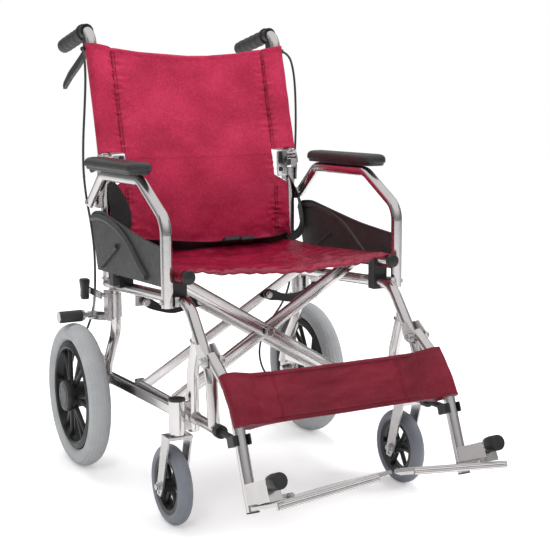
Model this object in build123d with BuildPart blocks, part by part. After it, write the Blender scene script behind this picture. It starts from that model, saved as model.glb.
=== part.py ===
"""Folding transit wheelchair. Millimetres, +Z up, the chair faces -Y, floor at Z = 0, X = 0 mid-plane.

Everything with a left and a right copy is modelled on the right-hand side (+X) and mirrored.
"""

from build123d import *
import math
import os

os.makedirs("parts", exist_ok=True)

# ---- driving dimensions ----
FRAME_X = 218.0  # side-frame tube plane
TUBE_R = 11.0
TUBE_WALL = 1.8
WELD_GAP = 0.05  # air left between two nodes that are welded or bolted face to face
SLIDE_GAP = 0.3  # air between curved faces on different bodies
PIN_R = 4.0  # folding, hanger and parking-brake pins
PIN_BORE = 4.06
AXLE_R = 6.0  # rear axle and caster stem
AXLE_BORE = 6.06
SMALL_PIN_R = 3.0  # footplate, brake-lever and back-release pins
SMALL_PIN_BORE = 3.06

REAR_AXLE = (297.0, 152.5)  # (y, z)
REAR_WHEEL_X = 279.0
REAR_TYRE_R = 152.5
REAR_TYRE_HALF_WIDTH = 23.0
REAR_RIM_R = 115.0
REAR_SPOKE_PAIRS = 6

CASTER_STEM = (252.0, -171.0)  # (x, y)
CASTER_AXLE = (-141.0, 75.0)  # (y, z)
CASTER_R = 75.0
CASTER_HALF_WIDTH = 14.0
CASTER_RIM_R = 55.0
CASTER_SPOKES = 6

SIDE_TUBE_PATH = [(265, 392.5), (-153.5, 414.5), (-245, 302), (-256, 205)]  # (y, z)
SIDE_TUBE_RADII = [60, 60]
CANE_Y = 262.0
CANE_TOP_Z = 622.0
BACK_HINGE = (262.0, 652.0)  # (y, z)
RELEASE_PIVOT = (265.0, 639.0)
UPPER_CANE_PATH = [(265.3, 664), (333.5, 922.5), (508, 893)]
UPPER_CANE_RADII = [32]
UPRIGHT_PATH = [(226, 396), (224, 296), (278, 218), (294, 172)]
UPRIGHT_RADII = [60, 60]
LOWER_RAIL_ENDS = [(270, 189), (-162, 200.3)]
LOWER_RAIL_SIZE = (18.0, 22.0)
POST_PATH = [(-167, 179), (-167, 285), (-193.7, 365.1)]
POST_RADII = [60]
ARM_X = 248.0
ARM_PATH = [(271, 562), (190, 626), (-12, 626), (-127, 560), (-127, 402)]
ARM_RADII = [35, 50, 45]

RAIL_X = 218.7
RAIL_ENDS = [(-152, 459), (212, 441)]  # seat-rail centre line (y, z)
LOWER_PIVOT = (200.0, 198.0)  # (x, z)
CENTRE_PIVOT_Z = 320.0
FRONT_BAR_Y = (-47.0, -36.0)  # brace A; brace B lies one pitch behind it
REAR_BAR_Y = (112.0, 118.0)
BAR_PITCH = {"front": 12.0, "rear": 7.0}
BAR_HEIGHT = 26.0
PIVOT_TUBE_Y = (-50.0, 135.0)

HANGER_X = 217.0
HANGER_PATH = [(-246, 331), (-331, 279), (-402, 96.5)]
HANGER_RADII = [60]
HANGER_PIVOT = (-249.0, 325.0)
HANGER_NOTCH_GAP = 1.4  # air round the front tube, so that the hanger can swing up past it
FOOT_PIVOT_X = 190.0
FOOT_TILT = 5.0  # degrees that each footplate rises towards the middle
FOOT_TIP_X = 9.0
FOOT_FRONT = 117.0  # reach of the footplate in front of the hanger tube

LINK_PIVOT = (198.0, 374.0)  # (x, z), inboard of the side tube so that the arm clears it when folded
LINK_END = (80.0, 366.0)
LINK_Y = (104.0, 110.5)

BRAKE_LEVER_PIVOT = (350.0, 884.0)
PARK_HANDLE_PIVOT = (222.0, 376.0)
PARK_SHOE_PIVOT = (217.0, 331.0)
SHOE_BAR = (310.0, 320.0)

CABLE_R = 2.5
CABLE_ROUTE = [
    (238, 323, 879),
    (241, 301, 872),
    (243, 284, 850),
    (245, 274, 812),
    (248, 274, 756),
    (251, 280, 694),
    (251, 288, 630),
    (247, 290, 572),
    (241, 288, 520),
    (238, 286, 462),
    (238, 287, 405),
    (237, 297, 350),
    (237, 330, 302),
    (236, 376, 262),
    (232, 420, 218),
    (230, 444, 168),
    (231, 430, 126),
    (234, 395, 108),
    (238.5, 355, 112),
    (239, 336, 120),
]


def side(points, x=FRAME_X):
    """Points of the YZ plane at one distance from the mid-plane."""
    return [(x, y, z) for y, z in points]


def rod(start, end, radius, bore=0.0, mode=Mode.ADD):
    """Round bar or straight tube between two points."""
    axis = Vector(*end) - Vector(*start)
    with BuildSketch(Plane(origin=start, z_dir=axis)) as section:
        Circle(radius)
        if bore:
            Circle(bore, mode=Mode.SUBTRACT)
    extrude(section.sketch, amount=axis.length, mode=mode)


def bent_tube(points, radii, radius=TUBE_R, bore=TUBE_R - TUBE_WALL, mode=Mode.ADD):
    """Round tube along straight runs joined by arcs."""
    with BuildLine() as path:
        FilletPolyline(*points, radius=radii)
    with BuildSketch(Plane(origin=path.line @ 0, z_dir=path.line % 0)) as section:
        Circle(radius)
        if bore:
            Circle(bore, mode=Mode.SUBTRACT)
    sweep(section.sketch, path=path.line, mode=mode)


def block(x, y, z, mode=Mode.ADD):
    """Box from three (low, high) ranges."""
    with Locations(((x[0] + x[1]) / 2, (y[0] + y[1]) / 2, (z[0] + z[1]) / 2)):
        Box(x[1] - x[0], y[1] - y[0], z[1] - z[0], mode=mode)


def side_plate(outline, x, mode=Mode.ADD):
    """Flat plate parallel to YZ from its (y, z) outline and its (low, high) x range."""
    with BuildSketch(Plane(origin=(x[0], 0, 0), x_dir=(0, 1, 0), z_dir=(1, 0, 0))) as section:
        with BuildLine():
            Polyline(*outline, close=True)
        make_face()
    extrude(section.sketch, amount=x[1] - x[0], mode=mode)


def clear(path, radii, radius):
    """Cuts room for a neighbouring tube, so that the two meet face to face."""
    bent_tube(path, radii, radius + WELD_GAP, 0, Mode.SUBTRACT)


# ---- side frame tubes ----
FORWARD_TUBE = [(FRAME_X, -178.0, 205.0), (FRAME_X, -272.0, 205.0)]
FORWARD_TUBE_R = 10.0

with BuildPart() as side_tube:
    bent_tube(side(SIDE_TUBE_PATH), SIDE_TUBE_RADII)
    rod((FRAME_X, -272, 205), (FRAME_X, -170, 205), FORWARD_TUBE_R + WELD_GAP, mode=Mode.SUBTRACT)
    block((200, 240), (-290, -200), (180, 205), Mode.SUBTRACT)

with BuildPart() as rear_cane:
    rod((FRAME_X, CANE_Y, 392), (FRAME_X, CANE_Y, CANE_TOP_Z), TUBE_R, TUBE_R - TUBE_WALL)
    clear(side(SIDE_TUBE_PATH), SIDE_TUBE_RADII, TUBE_R)
    block((200, 240), (230, 290), (370, 396), Mode.SUBTRACT)

with BuildPart() as rear_upright:
    bent_tube(side(UPRIGHT_PATH), UPRIGHT_RADII)
    clear(side(SIDE_TUBE_PATH), SIDE_TUBE_RADII, TUBE_R)
    block((200, 240), (200, 250), (391, 412), Mode.SUBTRACT)

with BuildPart() as lower_frame:
    rail_rear, rail_front = Vector(FRAME_X, *LOWER_RAIL_ENDS[0]), Vector(FRAME_X, *LOWER_RAIL_ENDS[1])
    rail_start = Plane(origin=rail_rear, x_dir=(1, 0, 0), z_dir=rail_front - rail_rear)
    with BuildSketch(rail_start) as rail_section:
        RectangleRounded(*LOWER_RAIL_SIZE, 5)
        RectangleRounded(LOWER_RAIL_SIZE[0] - 4, LOWER_RAIL_SIZE[1] - 4, 3, mode=Mode.SUBTRACT)
    extrude(rail_section.sketch, amount=(rail_front - rail_rear).length)
    bent_tube(side(POST_PATH), POST_RADII, TUBE_R, 0)
    clear(side(SIDE_TUBE_PATH), SIDE_TUBE_RADII, TUBE_R)
    block((224, 242), (-174, -168), (184, 236))
    rod((*CASTER_STEM, 178), (*CASTER_STEM, 240), 15)
    rod((FRAME_X, -168, 205), FORWARD_TUBE[1], FORWARD_TUBE_R)
    rod((FRAME_X, -167, 170), (FRAME_X, -167, 284), TUBE_R - TUBE_WALL, mode=Mode.SUBTRACT)
    rod((FRAME_X, -180, 205), (FRAME_X, -280, 205), FORWARD_TUBE_R - 1.6, mode=Mode.SUBTRACT)
    rod((*CASTER_STEM, 170), (*CASTER_STEM, 250), AXLE_BORE, mode=Mode.SUBTRACT)

# ---- brackets, bolts and pins that are fixed to the side frame ----
with BuildPart() as side_brackets:
    # axle plate outside the tubes
    side_plate([(262, 236), (282, 240), (318, 196), (318, 132), (284, 128), (262, 176)], (229.1, 234))
    rod((228, *REAR_AXLE), (236, *REAR_AXLE), 6.1, mode=Mode.SUBTRACT)
    # end blocks of the lower brace pivot, with the pivot pin between them
    for low, high in ((-62, -50.5), (135.5, 147)):
        block((190.5, 208.9), (low, high), (187, 209))
    rod((LOWER_PIVOT[0], -60, LOWER_PIVOT[1]), (LOWER_PIVOT[0], 145, LOWER_PIVOT[1]), 4.5)
    # clamp sleeve on the upright, with the parking brake's two pivot pins
    rod((FRAME_X, 225.6, 377), (FRAME_X, 224.8, 327), 14, TUBE_R + 0.3)
    block((231, 239), (210, 236), (322, 384))
    for pivot in (PARK_HANDLE_PIVOT, PARK_SHOE_PIVOT):
        rod((238, *pivot), (258, *pivot), PIN_R)
    # armrest brackets
    block((229.1, 236.9), (254, 279), (553, 577))
    block((229.1, 236.9), (-138, -116), (404, 422))
    # hanger lugs on the front tube
    for low, high in ((202.5, 205.7), (229.3, 232.5)):
        lug_outline = [(-212, 346), (-230, 352), (-257, 333), (-257, 317), (-240, 311), (-224, 316)]
        side_plate(lug_outline, (low, high))
    # hanger pivot bolt
    rod((199, *HANGER_PIVOT), (236, *HANGER_PIVOT), PIN_R)
    rod((232.4, *HANGER_PIVOT), (237, *HANGER_PIVOT), 7)
    rod((198, *HANGER_PIVOT), (202.6, *HANGER_PIVOT), 7)
    # hinge plates and pin of the half-folding back
    for low, high in ((203.8, 206.8), (229.2, 232.2)):
        side_plate([(252, 596), (272, 596), (274, 650), (268, 662), (256, 662), (250, 650)], (low, high))
    rod((203.8, *BACK_HINGE), (232.2, *BACK_HINGE), PIN_R)
    rod((231, *RELEASE_PIVOT), (238.5, *RELEASE_PIVOT), SMALL_PIN_R)
    # lug under the side tube for the folding link
    block((189, 216), (111.5, 115.5), (366, 393))
    bent_tube(side(SIDE_TUBE_PATH), SIDE_TUBE_RADII, TUBE_R + WELD_GAP, 0, Mode.SUBTRACT)
    rod((LINK_PIVOT[0], 101, LINK_PIVOT[1]), (LINK_PIVOT[0], 113, LINK_PIVOT[1]), PIN_R)
    rod((LINK_PIVOT[0], 100, LINK_PIVOT[1]), (LINK_PIVOT[0], 103.2, LINK_PIVOT[1]), 8)

# ---- black plastic saddles and plugs ----
rail_slope = (RAIL_ENDS[1][1] - RAIL_ENDS[0][1]) / (RAIL_ENDS[1][0] - RAIL_ENDS[0][0])


def rail_height(y):
    """Height of the seat rail's centre line at y."""
    return RAIL_ENDS[0][1] + rail_slope * (y - RAIL_ENDS[0][0])


hanger_down = (Vector(0, *HANGER_PATH[2]) - Vector(0, *HANGER_PATH[1])).normalized()
hanger_front = Vector(0, hanger_down.Z, -hanger_down.Y)
CLIP_CENTRE = Vector(HANGER_X, -358.0, 209.0)

SADDLE_Y = (-104.0, 165.0)
with BuildPart() as plastic_fittings:
    for y in SADDLE_Y:
        block((203.5, 233.5), (y - 11, y + 11), (398, rail_height(y) + 3))
        block((RAIL_X - TUBE_R - 0.3, RAIL_X + TUBE_R + 0.3), (y - 12, y + 12),
              (rail_height(y), rail_height(y) + 20), Mode.SUBTRACT)
    rod((RAIL_X, -160, rail_height(-160)), (RAIL_X, 220, rail_height(220)), TUBE_R + SLIDE_GAP,
        mode=Mode.SUBTRACT)
    clear(side(SIDE_TUBE_PATH), SIDE_TUBE_RADII, TUBE_R)
    rod((*CASTER_STEM, 240.1), (*CASTER_STEM, 244.5), 15.5)
    # collar, stub and cradle that hold the footrest hanger
    rod((FRAME_X, -272.1, 205), (FRAME_X, -286, 205), 12)
    rod((FRAME_X, -285, 205), (FRAME_X, -340, 205), 6)
    cradle_plane = Plane(origin=CLIP_CENTRE, x_dir=(1, 0, 0), z_dir=hanger_down)
    with BuildSketch(cradle_plane) as cradle:
        with Locations((0, -6)):
            RectangleRounded(34, 36, 7)
        with Locations((0, 10)):
            Rectangle(22.8, 20, mode=Mode.SUBTRACT)
        Circle(11.4, mode=Mode.SUBTRACT)
    extrude(cradle.sketch, amount=9, both=True)

# ---- armrest and side guard ----
with BuildPart() as armrest_tube:
    bent_tube(side(ARM_PATH, ARM_X), ARM_RADII)

PAD_X = (233.0, 283.0)
PAD_Y = (-45.0, 220.0)
PAD_Z = (637.3, 662.0)
with BuildPart() as armrest_pad:
    with BuildSketch(Plane.XY.offset(PAD_Z[0])):
        with Locations((sum(PAD_X) / 2, sum(PAD_Y) / 2)):
            RectangleRounded(PAD_X[1] - PAD_X[0], PAD_Y[1] - PAD_Y[0], 16)
    extrude(amount=PAD_Z[1] - PAD_Z[0])
    fillet(armrest_pad.faces().sort_by(Axis.Z)[-1].edges(), 8)

GUARD_X = (245.0, 248.0)
with BuildPart() as side_guard:
    guard_face = Plane(origin=(GUARD_X[0], 0, 0), x_dir=(0, 1, 0), z_dir=(1, 0, 0))
    with BuildSketch(guard_face) as guard_outline:
        with BuildLine():
            Polyline((-115.3, 506.5), (-115.3, 437), (240, 427), (271, 528))
            Spline((271, 528), (262, 542), (215, 548.5), (165, 542), (90, 530), (0, 517),
                   (-115.3, 506.5))
        make_face()
    extrude(guard_outline.sketch, amount=GUARD_X[1] - GUARD_X[0])
    # swept stiffening rib, short diagonal rib, and the tab that holds the guard to the rear saddle
    with BuildLine() as rib_path:
        Spline((249, 262, 533), (249, 215, 538), (249, 138, 530), (249, 63, 506), (249, 12, 474),
               (249, -34, 447))
    with BuildSketch(Plane(origin=rib_path.line @ 0, z_dir=rib_path.line % 0)) as rib_section:
        Circle(7)
    sweep(rib_section.sketch, path=rib_path.line)
    rod((249, 209, 440), (249, 119, 488), 6)
    tab_y = (SADDLE_Y[1] - 10, SADDLE_Y[1] + 10)
    block((233.5, 247), tab_y, (404, 420))
    block((240, 247), tab_y, (404, 442))

# ---- parking brake ----
with BuildPart() as park_brake_lever:
    side_plate([(214, 369), (230, 369), (290, 372), (290, 384), (230, 383), (214, 383)], (250, 254))
    rod((249, *PARK_HANDLE_PIVOT), (256, *PARK_HANDLE_PIVOT), PIN_BORE, mode=Mode.SUBTRACT)
    with BuildSketch(Plane(origin=(263, 286, 361))) as knob_foot:
        RectangleRounded(13, 17, 4)
    with BuildSketch(Plane(origin=(263, 284, 402))) as knob_top:
        RectangleRounded(17, 22, 6)
    loft([knob_foot.sketch, knob_top.sketch])
    block((253, 258), (278, 290), (373, 383))

with BuildPart() as park_brake_shoe:
    side_plate([(209, 324), (226, 322), (302, 312), (318, 314), (318, 327), (226, 340), (209, 338)],
               (244, 248))
    rod((243, *PARK_SHOE_PIVOT), (249, *PARK_SHOE_PIVOT), PIN_BORE, mode=Mode.SUBTRACT)
    rod((247, *SHOE_BAR), (258, *SHOE_BAR), 6)
    rod((257.9, *SHOE_BAR), (314, *SHOE_BAR), 12)

# ---- rear wheel ----
with BuildPart() as rear_tyre:
    with BuildSketch(Plane.XY) as tyre_section:
        with BuildLine():
            Line((REAR_RIM_R + 0.2, -16), (REAR_RIM_R + 0.2, 16))
            Spline((REAR_RIM_R + 0.2, 16), (132, REAR_TYRE_HALF_WIDTH), (146, 17), (REAR_TYRE_R, 0),
                   (146, -17), (132, -REAR_TYRE_HALF_WIDTH), (REAR_RIM_R + 0.2, -16))
        make_face()
    revolve(tyre_section.sketch, Axis.Y)


def place_wheel(part, x, centre):
    """Moves a wheel modelled about the Y axis onto its axle along X."""
    return Location((x, *centre)) * Rotation(0, 0, -90) * part


with BuildPart() as rear_wheel:
    with BuildSketch(Plane.XY) as rim_section:
        with BuildLine():
            Polyline((100, -18), (104, -20), (REAR_RIM_R, -16), (REAR_RIM_R, 16), (104, 20), (100, 18),
                     (103, 0), close=True)
        make_face()
    revolve(rim_section.sketch, Axis.Y)
    rod((0, -22, 0), (0, 34, 0), 27)
    for turn in range(REAR_SPOKE_PAIRS):
        for lean in (-9, 9):
            angle = math.radians(turn * 360 / REAR_SPOKE_PAIRS)
            foot = math.radians(turn * 360 / REAR_SPOKE_PAIRS + lean)
            rod((22 * math.cos(angle), 12, 22 * math.sin(angle)),
                (104 * math.cos(foot), 4, 104 * math.sin(foot)), 5)
    rod((0, -30, 0), (0, 20, 0), AXLE_BORE, mode=Mode.SUBTRACT)

with BuildPart() as hub_brake:
    axle_y, axle_z = REAR_AXLE
    rod((235, axle_y, axle_z), (254, axle_y, axle_z), 44)
    rod((224, axle_y, axle_z), (297, axle_y, axle_z), AXLE_R)
    rod((220, axle_y, axle_z), (229, axle_y, axle_z), 10)
    side_plate([(320, 134), (338, 112), (346, 112), (346, 121), (332, 146)], (232.5, 235.2))

# ---- caster ----
with BuildPart() as caster_fork:
    stem_x, stem_y = CASTER_STEM
    rod((stem_x, stem_y, 174), (stem_x, stem_y, 238), AXLE_R)
    block((stem_x - 24, stem_x + 24), (stem_y - 16, stem_y + 18), (171, 176.5))
    for low, high in ((stem_x - 24, stem_x - 20.5), (stem_x + 20.5, stem_x + 24)):
        side_plate([(-185, 175), (-155, 175), (-129, 80), (-126, 57), (-142, 55), (-152, 70)],
                   (low, high))
    rod((stem_x - 27, *CASTER_AXLE), (stem_x + 27, *CASTER_AXLE), PIN_R)
    for low, high in ((-28, -24), (24, 28)):
        rod((stem_x + low, *CASTER_AXLE), (stem_x + high, *CASTER_AXLE), 7)
    rod((stem_x - 30, -136, 62), (stem_x + 30, -136, 62), 2.6, mode=Mode.SUBTRACT)

with BuildPart() as caster_tyre:
    with BuildSketch(Plane.XY) as caster_section:
        with BuildLine():
            Line((CASTER_RIM_R + 0.2, -12), (CASTER_RIM_R + 0.2, 12))
            Spline((CASTER_RIM_R + 0.2, 12), (65, CASTER_HALF_WIDTH), (72, 9), (CASTER_R, 0),
                   (72, -9), (65, -CASTER_HALF_WIDTH), (CASTER_RIM_R + 0.2, -12))
        make_face()
    revolve(caster_section.sketch, Axis.Y)

with BuildPart() as caster_wheel:
    with BuildSketch(Plane.XY) as caster_rim:
        with BuildLine():
            Polyline((46, -11), (CASTER_RIM_R, -12), (CASTER_RIM_R, 12), (46, 11), (49, 0), close=True)
        make_face()
    revolve(caster_rim.sketch, Axis.Y)
    rod((0, -18, 0), (0, 18, 0), 13)
    for turn in range(CASTER_SPOKES):
        angle = math.radians(turn * 360 / CASTER_SPOKES)
        spoke = Vector(math.cos(angle), 0, math.sin(angle))
        rod(spoke * 9, spoke * 50, 4.5)
    rod((0, -20, 0), (0, 20, 0), PIN_BORE, mode=Mode.SUBTRACT)

# ---- footrest hanger: its bracket lies square to the tube's lower run ----


def foot_point(front, up):
    """(y, z) of a point given forward of the hanger tube and up along it, from its lower end."""
    point = Vector(0, *HANGER_PATH[2]) + hanger_front * front - hanger_down * up
    return (point.Y, point.Z)


FOOT_PIVOT_UP = 17.0
hinge_plane = Plane(origin=Vector(0, *HANGER_PATH[2]), x_dir=(1, 0, 0), z_dir=hanger_front)

with BuildPart() as hanger_tube:
    bent_tube(side(HANGER_PATH, HANGER_X), HANGER_RADII)
    rod((205, *HANGER_PIVOT), (229, *HANGER_PIVOT), PIN_BORE, mode=Mode.SUBTRACT)
    bent_tube(side(SIDE_TUBE_PATH), SIDE_TUBE_RADII, TUBE_R + HANGER_NOTCH_GAP, 0, Mode.SUBTRACT)
    # end plug, footplate bracket and the rubber stop at its front
    rod((HANGER_X, *foot_point(0, 0)), (HANGER_X, *foot_point(0, 4)), TUBE_R)
    bracket_outline = [foot_point(10, 12.4), foot_point(94, 12.4), foot_point(90, 49), foot_point(10, 47)]
    side_plate(bracket_outline, (205, 229))
    rod((HANGER_X, *foot_point(88, 42)), (HANGER_X, *foot_point(119, 42)), 13)
    # lugs and pin that the footplate turns on
    for front in (24, 84):
        with BuildSketch(hinge_plane.offset(front)) as lug:
            with Locations((FOOT_PIVOT_X, FOOT_PIVOT_UP)):
                Circle(4.4)
            with Locations((FOOT_PIVOT_X + 8, FOOT_PIVOT_UP + 1)):
                Rectangle(15.5, 6)
        extrude(lug.sketch, amount=6)
    rod((FOOT_PIVOT_X, *foot_point(22, FOOT_PIVOT_UP)),
        (FOOT_PIVOT_X, *foot_point(101, FOOT_PIVOT_UP)), SMALL_PIN_R)

with BuildPart() as flat_footplate:
    plate_face = Plane(origin=Vector(0, *HANGER_PATH[2]), x_dir=(1, 0, 0), z_dir=hanger_down)
    with BuildSketch(plate_face.offset(-12)) as plate_outline:
        with BuildLine():
            Polyline((229, 17), (229, FOOT_FRONT), (FOOT_TIP_X, FOOT_FRONT),
                     (FOOT_TIP_X, FOOT_FRONT - 20), (70, 17), close=True)
        make_face()
    extrude(plate_outline.sketch, amount=6)
    with BuildSketch(plate_face.offset(-12)) as lip_outline:
        with BuildLine():
            Polyline((229, FOOT_FRONT - 7), (229, FOOT_FRONT), (34, FOOT_FRONT), (44, FOOT_FRONT - 7),
                     close=True)
        make_face()
    extrude(lip_outline.sketch, amount=12)
    for front in (31, 91):
        with BuildSketch(hinge_plane.offset(front)) as knuckle:
            with Locations((FOOT_PIVOT_X, FOOT_PIVOT_UP)):
                Circle(4.4)
            with Locations((FOOT_PIVOT_X, FOOT_PIVOT_UP - 3)):
                Rectangle(8.8, 6)
            with Locations((FOOT_PIVOT_X, FOOT_PIVOT_UP)):
                Circle(SMALL_PIN_BORE, mode=Mode.SUBTRACT)
        extrude(knuckle.sketch, amount=7)

with BuildPart() as footplate:
    foot_axis = Axis((FOOT_PIVOT_X, *foot_point(0, FOOT_PIVOT_UP)), -hanger_front)
    add(flat_footplate.part.rotate(foot_axis, FOOT_TILT))

# ---- upper back cane, push grip and attendant brake ----
with BuildPart() as back_cane:
    bent_tube(side(UPPER_CANE_PATH), UPPER_CANE_RADII)
    rod((207.3, *BACK_HINGE), (228.7, *BACK_HINGE), TUBE_R)
    rod((FRAME_X, BACK_HINGE[0] + 0.8, BACK_HINGE[1] + 3), (FRAME_X, 267.4, 672),
        TUBE_R - TUBE_WALL + 0.4)
    rod((206, *BACK_HINGE), (230, *BACK_HINGE), PIN_BORE, mode=Mode.SUBTRACT)

cane_back = Vector(0, *UPPER_CANE_PATH[2]) - Vector(0, *UPPER_CANE_PATH[1])
cane_back_length = cane_back.length
cane_back = cane_back.normalized()


def grip_point(distance):
    """Point on the handle's centre line, measured back from the cane's corner."""
    point = Vector(FRAME_X, *UPPER_CANE_PATH[1]) + cane_back * distance
    return (point.X, point.Y, point.Z)


GRIP_START = 40.0
GRIP_END = 177.5
GRIP_RIBS = 9
with BuildPart() as push_grip:
    rod(grip_point(GRIP_START), grip_point(GRIP_END), 15.5)
    for rib in range(GRIP_RIBS):
        start = GRIP_START + 12 + rib * 13
        rod(grip_point(start), grip_point(start + 8), 16.1)
    rod(grip_point(GRIP_START - 5), grip_point(GRIP_START), 18.5)
    rod(grip_point(0), grip_point(cane_back_length), TUBE_R + WELD_GAP, mode=Mode.SUBTRACT)

with BuildPart() as brake_perch:
    rod(grip_point(18), grip_point(34), 15)
    with BuildSketch(Plane(origin=(FRAME_X - 7, 0, 0), x_dir=(0, 1, 0), z_dir=(1, 0, 0))) as perch_body:
        with BuildLine():
            Polyline((338, 910), (334, 892), (340, 880), (345, 876), (357, 877), (360, 890), (362, 908),
                     close=True)
        make_face()
    extrude(perch_body.sketch, amount=14)
    rod((FRAME_X + 6, 338, 884), (FRAME_X + 20, 326, 880.4), 5)
    rod(grip_point(0), grip_point(60), TUBE_R + WELD_GAP, mode=Mode.SUBTRACT)
    bent_tube(side(UPPER_CANE_PATH), UPPER_CANE_RADII, TUBE_R + WELD_GAP, 0, Mode.SUBTRACT)
    block((FRAME_X - 4.3, FRAME_X + 4.3), (342, 380), (860, 895), Mode.SUBTRACT)
    rod((FRAME_X - 7, *BRAKE_LEVER_PIVOT), (FRAME_X + 7, *BRAKE_LEVER_PIVOT), SMALL_PIN_R)

with BuildPart() as brake_lever:
    side_plate([(343.5, 888), (350, 891.5), (357, 888), (385, 872), (418, 858), (470, 836), (506, 814),
                (511, 807), (508, 799), (498, 804), (462, 822), (410, 843), (376, 860), (348, 877)],
               (FRAME_X - 4, FRAME_X + 4))
    rod((FRAME_X - 8, *BRAKE_LEVER_PIVOT), (FRAME_X + 8, *BRAKE_LEVER_PIVOT), SMALL_PIN_BORE,
        mode=Mode.SUBTRACT)

with BuildPart() as back_release:
    side_plate([(256, 634), (258, 646), (270, 650), (300, 642), (306, 630), (298, 624), (270, 630)],
               (232.6, 237.4))
    rod((230, *RELEASE_PIVOT), (240, *RELEASE_PIVOT), SMALL_PIN_BORE, mode=Mode.SUBTRACT)


def corner_radii(points):
    """Largest even arcs that fit the corners of a cord's route."""
    radii = []
    for before, corner, after in zip(points, points[1:], points[2:]):
        into, out = Vector(*corner) - Vector(*before), Vector(*after) - Vector(*corner)
        half_turn = math.radians(into.get_angle(out) / 2)
        radii.append(0.45 * min(into.length, out.length) / math.tan(half_turn))
    return radii


with BuildPart() as brake_cable:
    cable_radii = corner_radii(CABLE_ROUTE)
    with BuildLine() as cable_path:
        FilletPolyline(*CABLE_ROUTE, radius=cable_radii)
    with BuildSketch(Plane(origin=cable_path.line @ 0, z_dir=cable_path.line % 0)) as cable_section:
        Circle(CABLE_R)
    sweep(cable_section.sketch, path=cable_path.line)
cable_length = sum(edge.length for edge in cable_path.edges())
print("cable radii", [round(radius) for radius in cable_radii])
print("cable length", round(cable_length), "volume ratio",
      round(brake_cable.part.volume / (math.pi * CABLE_R**2 * cable_length), 4))

# ---- folding link under the seat ----
with BuildPart() as link_arm:
    link_plane = Plane(origin=(0, LINK_Y[1], 0), x_dir=(1, 0, 0), z_dir=(0, -1, 0))
    with BuildSketch(link_plane) as link_outline:
        with BuildLine():
            Spline((207, 374), (198, 365), (170, 353), (136, 346), (100, 352), (74, 360), (71, 368),
                   (80, 375), (110, 368), (146, 364), (172, 371), (192, 382), (205, 381), (207, 374))
        make_face()
        with Locations(LINK_PIVOT):
            Circle(4.08, mode=Mode.SUBTRACT)
    extrude(link_outline.sketch, amount=LINK_Y[1] - LINK_Y[0])
    rod((LINK_END[0], LINK_Y[0] + 1, LINK_END[1]), (LINK_END[0], LINK_Y[0] - 4, LINK_END[1]), 7)

# ---- cross braces, each welded to its lower pivot tube and its seat rail ----


def brace_bar(y, rail_z, height):
    """Flat bar from the right-hand lower pivot up to the left-hand seat rail."""
    low = Vector(LOWER_PIVOT[0], y[0], LOWER_PIVOT[1])
    high = Vector(-RAIL_X, y[0], rail_z)
    middle = (low + high) / 2
    with BuildSketch(Plane(origin=middle, x_dir=high - low, z_dir=(0, 1, 0))) as bar:
        Rectangle((high - low).length - 14, height)
    extrude(bar.sketch, amount=y[1] - y[0])


def brace(front_y, rear_y):
    """Front and rear bars, lower pivot tube and seat rail of one brace."""
    brace_bar(front_y, rail_height(front_y[0]), BAR_HEIGHT)
    brace_bar(rear_y, rail_height(rear_y[0]), BAR_HEIGHT - 6)
    rod((LOWER_PIVOT[0], PIVOT_TUBE_Y[0], LOWER_PIVOT[1]),
        (LOWER_PIVOT[0], PIVOT_TUBE_Y[1], LOWER_PIVOT[1]), 8.5)
    rail = [(-RAIL_X, *RAIL_ENDS[0]), (-RAIL_X, *RAIL_ENDS[1])]
    rod(*rail, TUBE_R)
    rod((LOWER_PIVOT[0], -80, LOWER_PIVOT[1]), (LOWER_PIVOT[0], 160, LOWER_PIVOT[1]), 4.56,
        mode=Mode.SUBTRACT)


FRONT_B = tuple(y + BAR_PITCH["front"] for y in FRONT_BAR_Y)
REAR_B = tuple(y + BAR_PITCH["rear"] for y in REAR_BAR_Y)

with BuildPart() as brace_a:
    brace(FRONT_BAR_Y, REAR_BAR_Y)
    rod((0, FRONT_BAR_Y[0] - 1, CENTRE_PIVOT_Z), (0, FRONT_B[1] + 1, CENTRE_PIVOT_Z), 5)
    rod((0, FRONT_BAR_Y[0] - 5, CENTRE_PIVOT_Z), (0, FRONT_BAR_Y[0], CENTRE_PIVOT_Z), 9)

with BuildPart() as brace_b_mirrored:
    brace(FRONT_B, REAR_B)
    rod((0, -100, CENTRE_PIVOT_Z), (0, 60, CENTRE_PIVOT_Z), 5.06, mode=Mode.SUBTRACT)

with BuildPart() as brace_b:
    mirror(brace_b_mirrored.part, about=Plane.YZ)

# ---- soft parts ----
with BuildPart() as seat:
    side_plate([(-152, 466), (212, 448), (212, 441), (-152, 459)], (-188, 188))

back_lean = (Vector(0, *UPPER_CANE_PATH[1]) - Vector(0, *UPPER_CANE_PATH[0])).normalized()
BACK_HALF_WIDTH = 203.0
with BuildPart() as back_upper:
    top = Vector(0, *UPPER_CANE_PATH[0]) + back_lean * 238
    side_plate([(253, 650), (262, 650), (top.Y + 1, top.Z), (top.Y - 9, top.Z)],
               (-BACK_HALF_WIDTH, BACK_HALF_WIDTH))

with BuildPart() as back_lower:
    side_plate([(253, 468), (262, 468), (262, 648), (253, 648)], (-BACK_HALF_WIDTH, BACK_HALF_WIDTH))

with BuildPart() as calf_strap:
    side_plate([(-300, 306), (-348, 226), (-352, 229), (-304, 309)], (-205, 205))

with BuildPart() as lap_belt:
    side_plate([(176, 454), (214, 453), (214, 457), (176, 458)], (-190, 190))


# ---- every finished piece is labelled and written ----
def write(part, name):
    """Labels a piece and writes its STEP file."""
    part.label = name
    export_step(part, f"parts/{name}.step")


for name, piece in {"brace_a": brace_a, "brace_b": brace_b, "seat_sling": seat, "back_upper": back_upper,
                    "back_lower": back_lower, "calf_strap": calf_strap, "lap_belt": lap_belt}.items():
    write(piece.part, name)

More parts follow.
